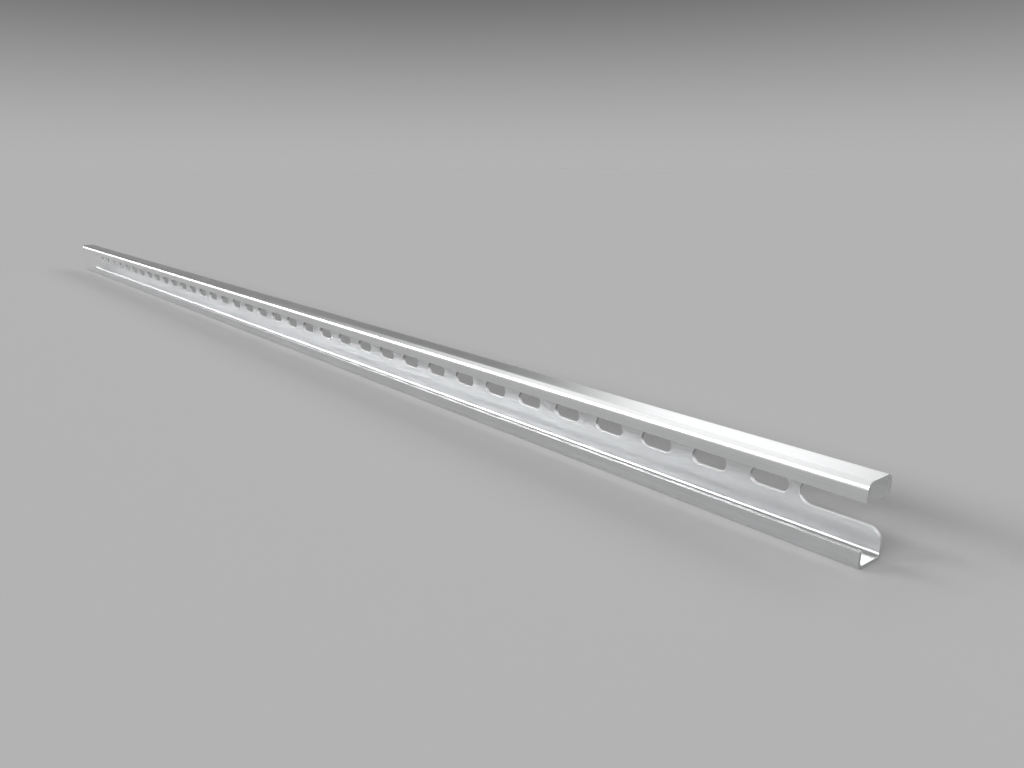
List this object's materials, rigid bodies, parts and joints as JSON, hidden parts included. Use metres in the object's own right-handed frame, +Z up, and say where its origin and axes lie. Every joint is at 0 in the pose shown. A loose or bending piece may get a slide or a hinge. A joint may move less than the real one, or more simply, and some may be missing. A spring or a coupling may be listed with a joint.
{
  "type": "c-profile rail",
  "caption": "Slotted C-section mounting rail of zinc-plated sheet steel, with two inward lips, a row of slots in its web and a slot open at each end.",
  "frame": {"origin": "on the floor plane under the middle of the rail", "axes": "+X along the rail, +Y from the mouth towards the web, +Z up"},
  "size_m": [0.955, 0.015, 0.03],
  "materials": {
    "zinc_plate": "smooth zinc-plated steel sheet with a satin sheen"
  },
  "bodies": {
    "root": {"rail": "zinc_plate"}
  },
  "joints": []
}
